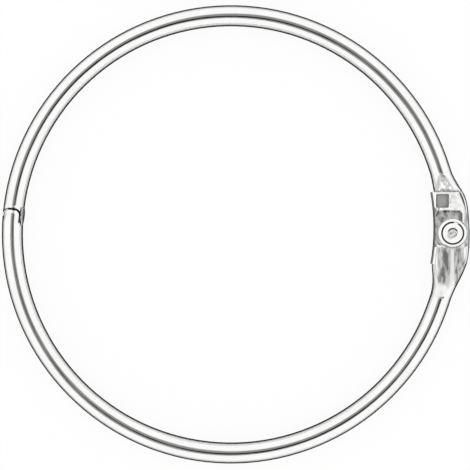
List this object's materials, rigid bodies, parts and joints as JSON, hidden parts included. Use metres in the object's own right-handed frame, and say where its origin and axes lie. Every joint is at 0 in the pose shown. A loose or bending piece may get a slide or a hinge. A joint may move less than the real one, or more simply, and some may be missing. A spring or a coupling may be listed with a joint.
{
  "type": "shower curtain ring",
  "caption": "Hinged snap ring of rolled sheet steel tube that opens at a latch, to carry a curtain on a rod.",
  "frame": {"origin": "centre of the ring's opening, halfway through the tube's thickness", "axes": "+Z is the ring's axis and points out of the face with the hinge's window, +X points at the hinge, and the ring lies flat on its -Z side"},
  "size_m": [0.0776, 0.076, 0.0036],
  "materials": {
    "plated_tube": "bright nickel plate on rolled steel sheet",
    "plated_rivet": "bright nickel plate on a steel rivet"
  },
  "bodies": {
    "lower_half": {"lower_half_ring": "plated_tube", "hinge_rivet": "plated_rivet"},
    "upper_half": {"upper_half_ring": "plated_tube"}
  },
  "joints": [
    {"name": "hinge_pivot", "type": "hinge", "parent": "lower_half", "child": "upper_half", "pos_m": [0.0367, 0.0002, 0], "axis": [0, 0, -1], "range_deg": [0, 90]}
  ]
}
